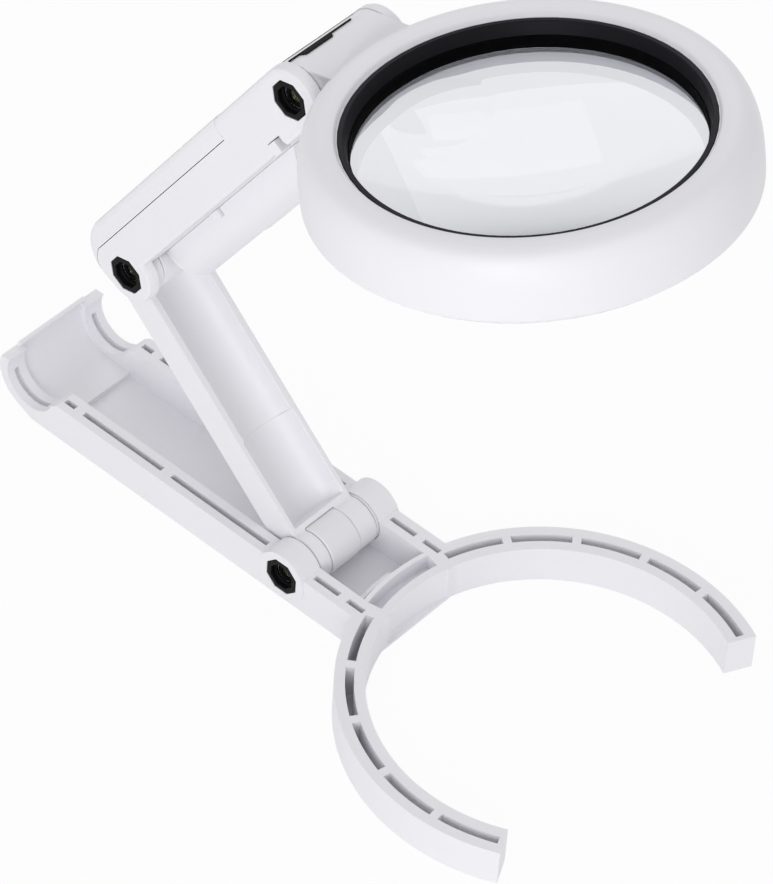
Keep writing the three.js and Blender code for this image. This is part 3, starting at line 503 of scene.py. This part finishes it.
dome = loose("dome", turned(eased(dome_outside) + list(dome_inside), lens_frame))
reliefs = []
for side in (-1, 1):
    low, high = sorted((side * relief_inner, side * relief_outer))
    relief = ((at_axis, low), (relief_radius, low), (relief_radius, high), (at_axis, high))
    sideways = head_frame @ Matrix.Rotation(-math.pi / 2, 4, "X")
    reliefs.append(loose("relief", turned(relief, sideways, segments=64)))
    carve(dome, reliefs[-1], "DIFFERENCE")
head_shape = rounded("head_housing", edge=0.7, bend=30.0, segments=3)
head_shape.transform(lens_frame @ Matrix.Diagonal(under_skin) @ lens_frame.inverted())
head_raw = loose("head_raw", head_shape)
mouth_tool = loose("mouth", turned(mouth, lens_frame))
carve(head_raw, mouth_tool, "DIFFERENCE")
carve(head_raw, dome, "UNION")
head_mesh = as_mesh(head_raw)
for tool in (dome, mouth_tool, *reliefs):
    bpy.data.objects.remove(tool)
head_work = bmesh.new()
head_work.from_mesh(head_mesh)
bmesh.ops.remove_doubles(head_work, verts=head_work.verts, dist=head_same_point)
mark_creases(head_work, head_crease)
head_work.to_mesh(head_mesh)
head_work.free()
head_level = loose("head_level", head_mesh)
head_level.modifiers.new("levelling", "WEIGHTED_NORMAL").keep_sharp = True
head_mesh = as_mesh(head_level)
on_scene("finished_head_housing", head_mesh, white_shell, "head", "white_shell", "head_housing")
for bush in ("head_bush_near", "head_bush_far"):
    moulding(bush, "head", nylon, "nylon", edge=0.2)

# The dark slot on the neck: a black strip lies across the top of the neck as painted shadow,
# standing in for the shade in the gap between the neck and the rear wall of the arm. Its middle is
# wider than
# its ends: each span gives a place across the neck and the width there, in degrees round the neck.
gap_shadow_black = moulded(
    "gap_shadow_black", (0.004, 0.004, 0.005), (0.008, 0.008, 0.009),
    gloss=0.55, spread=0.12, grain_scale=1500.0, grain_depth=1e-5, Specular_IOR_Level=0.1,
)
gap_shadow_low, gap_shadow_high, gap_shadow_rear, gap_shadow_crease = 10.9, 11.32, 107.5, 30.0
gap_shadow_spans = ((-17.8, 2.8), (-13.3, 2.8), (-12.0, 13.0), (0.0, 13.0), (1.3, 2.8), (10.5, 2.8))
round_section = (0, 1, 2, 5, 4, 3)
gap_shadow_work = bmesh.new()
sections = []
for y, width in gap_shadow_spans:
    across = []
    for radius in (gap_shadow_low, gap_shadow_high):
        for share in (0.0, 0.5, 1.0):
            angle = math.radians(gap_shadow_rear - share * width)
            point = Vector((radius * math.cos(angle), y, radius * math.sin(angle)))
            across.append(gap_shadow_work.verts.new(point * MM))
    sections.append([across[i] for i in round_section])
for here, there in zip(sections, sections[1:]):
    for i in range(len(round_section)):
        j = (i + 1) % len(round_section)
        gap_shadow_work.faces.new((here[i], here[j], there[j], there[i]))
gap_shadow_work.faces.new(sections[0])
gap_shadow_work.faces.new(sections[-1])
bmesh.ops.recalc_face_normals(gap_shadow_work, faces=gap_shadow_work.faces)
mark_creases(gap_shadow_work, gap_shadow_crease)
gap_shadow_mesh = bpy.data.meshes.new("neck_gap_shadow")
gap_shadow_work.to_mesh(gap_shadow_mesh)
gap_shadow_work.free()
gap_shadow_mesh.transform(head_frame)
on_scene("neck_gap_shadow", gap_shadow_mesh, gap_shadow_black, "head", "black_inner")

# The light: a white ring carries a white board with eight lamps above its windows, and a milky
# cover snaps in below them.
board_white = moulded(
    "board_white", (0.85, 0.85, 0.82), (0.80, 0.80, 0.77),
    gloss=0.36, spread=0.1, grain_scale=600.0, grain_depth=8e-6, cloud_scale=150.0,
)
milky = moulded(
    "milky_cover", (0.88, 0.88, 0.85), (0.84, 0.84, 0.81),
    gloss=0.42, spread=0.1, grain_scale=1500.0, grain_depth=6e-6,
    Transmission_Weight=0.35, IOR=1.49,
)
moulding("light_ring", "head", white_shell, "white_shell", edge=0.3, flatten=False)
moulding("light_board", "head", board_white, "light_board", edge=0.15, flatten=False)
moulding("light_cover", "head", milky, "light_cover", edge=0.25, flatten=False)

# The lamps: eight white surface-mounted lamps on the underside of the board, each a ceramic body
# with a round phosphor window below and a tinned foot at both ends. They stand evenly on one
# circle.
ceramic = moulded(
    "ceramic", (0.86, 0.85, 0.80), (0.81, 0.80, 0.75),
    gloss=0.4, spread=0.1, grain_scale=2000.0, grain_depth=4e-6,
)
phosphor = moulded(
    "phosphor", (0.80, 0.66, 0.16), (0.74, 0.58, 0.12),
    gloss=0.5, spread=0.1, grain_scale=5200.0, grain_depth=1.2e-5, cloud_scale=900.0,
)
lamp_level, window_sides, to_underside, to_other_end = -10.55, 24, -0.5, -1.0
lamp_values = {
    "Count": 8, "Circle": 62.5 * MM,
    "Body": Vector((4.0, 4.0, 1.3)) * MM, "Window": 1.45 * MM, "Window Depth": 0.2 * MM,
    "Foot": Vector((0.5, 2.4, 0.6)) * MM, "Foot Away": 1.95 * MM,
    "Ceramic": ceramic, "Phosphor": phosphor, "Tin": nickel,
}


def growing_tree(name, values):
    tree = bpy.data.node_groups.new(name, "GeometryNodeTree")
    kinds = {int: "Int", float: "Float", Vector: "Vector", bpy.types.Material: "Material"}
    for label, value in values.items():
        kind = "NodeSocket" + kinds[type(value)]
        tree.interface.new_socket(label, in_out="INPUT", socket_type=kind)
    tree.interface.new_socket("Geometry", in_out="OUTPUT", socket_type="NodeSocketGeometry")
    return tree, tree.nodes.new("NodeGroupInput").outputs, tree.nodes.new("NodeGroupOutput").inputs


def grow(tree, kind, links=(), **values):
    made = tree.nodes.new(kind)
    for label, value in values.items():
        made.inputs[label.replace("_", " ")].default_value = value
    for label, source in dict(links).items():
        tree.links.new(source, made.inputs[label])
    return made


def finish_in(tree, geometry, material):
    return grow(tree, "GeometryNodeSetMaterial", {"Geometry": geometry, "Material": material})


def grown_mesh(name, tree, values):
    holder = loose(name, bpy.data.meshes.new(name))
    growth = holder.modifiers.new(name, "NODES")
    growth.node_group = tree
    for socket in tree.interface.items_tree:
        if socket.in_out == "INPUT":
            growth[socket.identifier] = values[socket.name]
    return as_mesh(holder)


lamp_tree, lamp_in, lamp_out = growing_tree("lamp_circle", lamp_values)
body_box = grow(
    lamp_tree, "GeometryNodeMeshCube", {"Size": lamp_in["Body"]}, Vertices_X=3, Vertices_Y=3,
)
body_done = finish_in(lamp_tree, body_box.outputs["Mesh"], lamp_in["Ceramic"])
body_split = grow(lamp_tree, "ShaderNodeSeparateXYZ", {"Vector": lamp_in["Body"]})
window_height = grow(lamp_tree, "ShaderNodeMath", {0: body_split.outputs["Z"]})
window_height.operation = "MULTIPLY"
window_height.inputs[1].default_value = to_underside
window_place = grow(lamp_tree, "ShaderNodeCombineXYZ", {"Z": window_height.outputs[0]})
window_disc = grow(
    lamp_tree, "GeometryNodeMeshCylinder",
    {"Radius": lamp_in["Window"], "Depth": lamp_in["Window Depth"]}, Vertices=window_sides,
)
window_set = grow(
    lamp_tree, "GeometryNodeTransform",
    {"Geometry": window_disc.outputs["Mesh"], "Translation": window_place.outputs["Vector"]},
)
window_done = finish_in(lamp_tree, window_set.outputs["Geometry"], lamp_in["Phosphor"])
foot_box = grow(lamp_tree, "GeometryNodeMeshCube", {"Size": lamp_in["Foot"]})
foot_row = grow(lamp_tree, "GeometryNodeMeshLine", Count=2)
foot_row.mode = "END_POINTS"
foot_start = grow(lamp_tree, "ShaderNodeCombineXYZ", {"X": lamp_in["Foot Away"]})
foot_away = grow(lamp_tree, "ShaderNodeVectorMath", {0: foot_start.outputs["Vector"]})
foot_away.operation = "SCALE"
foot_away.inputs["Scale"].default_value = to_other_end
lamp_tree.links.new(foot_start.outputs["Vector"], foot_row.inputs["Start Location"])
lamp_tree.links.new(foot_away.outputs["Vector"], foot_row.inputs["Offset"])
feet = grow(
    lamp_tree, "GeometryNodeInstanceOnPoints",
    {"Points": foot_row.outputs["Mesh"], "Instance": foot_box.outputs["Mesh"]},
)
feet_done = finish_in(lamp_tree, feet.outputs["Instances"], lamp_in["Tin"])
one_lamp = grow(lamp_tree, "GeometryNodeJoinGeometry")
for part in (feet_done, window_done, body_done):
    lamp_tree.links.new(part.outputs["Geometry"], one_lamp.inputs["Geometry"])
circle = grow(
    lamp_tree, "GeometryNodeMeshCircle",
    {"Vertices": lamp_in["Count"], "Radius": lamp_in["Circle"]},
)
place = grow(lamp_tree, "GeometryNodeInputPosition")
facing_out = grow(
    lamp_tree, "FunctionNodeAlignRotationToVector", {"Vector": place.outputs["Position"]},
)
facing_out.axis = "X"
lamps_on = grow(
    lamp_tree, "GeometryNodeInstanceOnPoints",
    {
        "Points": circle.outputs["Mesh"], "Instance": one_lamp.outputs["Geometry"],
        "Rotation": facing_out.outputs["Rotation"],
    },
)
lamps_real = grow(
    lamp_tree, "GeometryNodeRealizeInstances", {"Geometry": lamps_on.outputs["Instances"]},
)
lamp_tree.links.new(lamps_real.outputs["Geometry"], lamp_out["Geometry"])
lamps_mesh = grown_mesh("lamps", lamp_tree, lamp_values)
half_step = Matrix.Rotation(math.pi / lamp_values["Count"], 4, "Z")
lamps_mesh.transform(lens_frame @ Matrix.Translation((0, 0, lamp_level * MM)) @ half_step)
lamp_nodes = [f"lamp_{i + 1}" for i in range(lamp_values["Count"])]
on_scene("lamps", lamps_mesh, None, "head", "lamps", *lamp_nodes)

# The bezel: a black ring with a fine spark-eroded grain is pressed down into the tube, and below
# its step a second black ring holds the lens on its flange. That ring is given a darker, duller
# copy of the bezel's black, which is painted shade for the band that lies in shadow by the lens.
bezel_black = moulded(
    "bezel_black", (0.0025, 0.0025, 0.0045), (0.006, 0.006, 0.0095),
    gloss=0.42, spread=0.1, grain_scale=1700.0, grain_depth=1.2e-5, Specular_IOR_Level=0.14,
)
# Painted shade: a darker, less glossy copy of the bezel's black for the low band in shadow.
shaded_bezel_black = moulded(
    "shaded_bezel_black", (0.0012, 0.0012, 0.0016), (0.0022, 0.0022, 0.0028),
    gloss=0.7, spread=0.1, grain_scale=1700.0, grain_depth=6e-6, Specular_IOR_Level=0.04,
)
bezel_profile = (
    (57.4, 5.3), (57.4, 9.7), (57.2, 9.9), (55.85, 9.9), (55.55, 9.6), (54.75, 5.6), (54.6, 5.3),
)
clamp_profile = ((57.4, 0.7), (57.4, 5.2), (54.35, 5.2), (54.22, 5.05), (54.22, 0.75), (54.3, 0.7))
for ring_name, ring_profile, ring_black in (
    ("finished_bezel", bezel_profile, bezel_black),
    ("lens_clamp", clamp_profile, shaded_bezel_black),
):
    ring_mesh = turned(ring_profile, lens_frame)
    on_scene(ring_name, ring_mesh, ring_black, "head", "bezel", "lens_bezel")

# The lens: one clear acrylic disc, domed on both faces. A small strong lens is bonded into it near
# the neck and stands a little proud of both faces.
lens = {"radius": 56.0, "middle": -1.75, "edge": 4.0, "sag": 4.0}
spot = {"radius": 16.5, "away": 35.4, "rise": 0.75}
lens_rings, lens_spokes, rim_crease = 56, 192, 40.0
lens_sphere = (lens["radius"] ** 2 + lens["sag"] ** 2) / (2 * lens["sag"])


def lens_height(x, y):
    out = x * x + y * y
    height = lens["sag"] - lens_sphere + math.sqrt(lens_sphere ** 2 - out) + lens["edge"] / 2
    near = ((x + spot["away"]) ** 2 + y * y) / spot["radius"] ** 2
    return height + spot["rise"] * max(0.0, 1.0 - near)


lens_work = bmesh.new()
rims = []
for face_sign in (1, -1):
    rows = []
    for ring in range(1, lens_rings + 1):
        r = lens["radius"] * ring / lens_rings
        row = []
        for spoke in range(lens_spokes):
            angle = 2 * math.pi * spoke / lens_spokes
            x, y = r * math.cos(angle), r * math.sin(angle)
            z = lens["middle"] + face_sign * lens_height(x, y)
            row.append(lens_work.verts.new(Vector((x, y, z)) * MM))
        rows.append(row)
    crown = lens["middle"] + face_sign * lens_height(0, 0)
    pole = lens_work.verts.new(Vector((0, 0, crown)) * MM)
    for spoke in range(lens_spokes):
        after = (spoke + 1) % lens_spokes
        lens_work.faces.new((pole, rows[0][spoke], rows[0][after]))
        for inner, outer in zip(rows, rows[1:]):
            lens_work.faces.new((inner[spoke], outer[spoke], outer[after], inner[after]))
    rims.append(rows[-1])
upper_rim, lower_rim = rims
for spoke in range(lens_spokes):
    after = (spoke + 1) % lens_spokes
    lens_work.faces.new((upper_rim[spoke], lower_rim[spoke], lower_rim[after], upper_rim[after]))
bmesh.ops.recalc_face_normals(lens_work, faces=lens_work.faces)
mark_creases(lens_work, rim_crease)
lens_mesh = bpy.data.meshes.new("acrylic_lens")
lens_work.to_mesh(lens_mesh)
lens_work.free()
lens_mesh.transform(lens_frame)
clear = moulded(
    "clear_acrylic", (0.80, 0.81, 0.84), (0.79, 0.80, 0.83), gloss=0.0, spread=0.004,
    grain_scale=300.0, grain_depth=0.0, cloud_scale=60.0, IOR=1.49, Transmission_Weight=1.0,
)
on_scene("acrylic_lens", lens_mesh, clear, "head", "lens", "main_lens", "spot_lens")
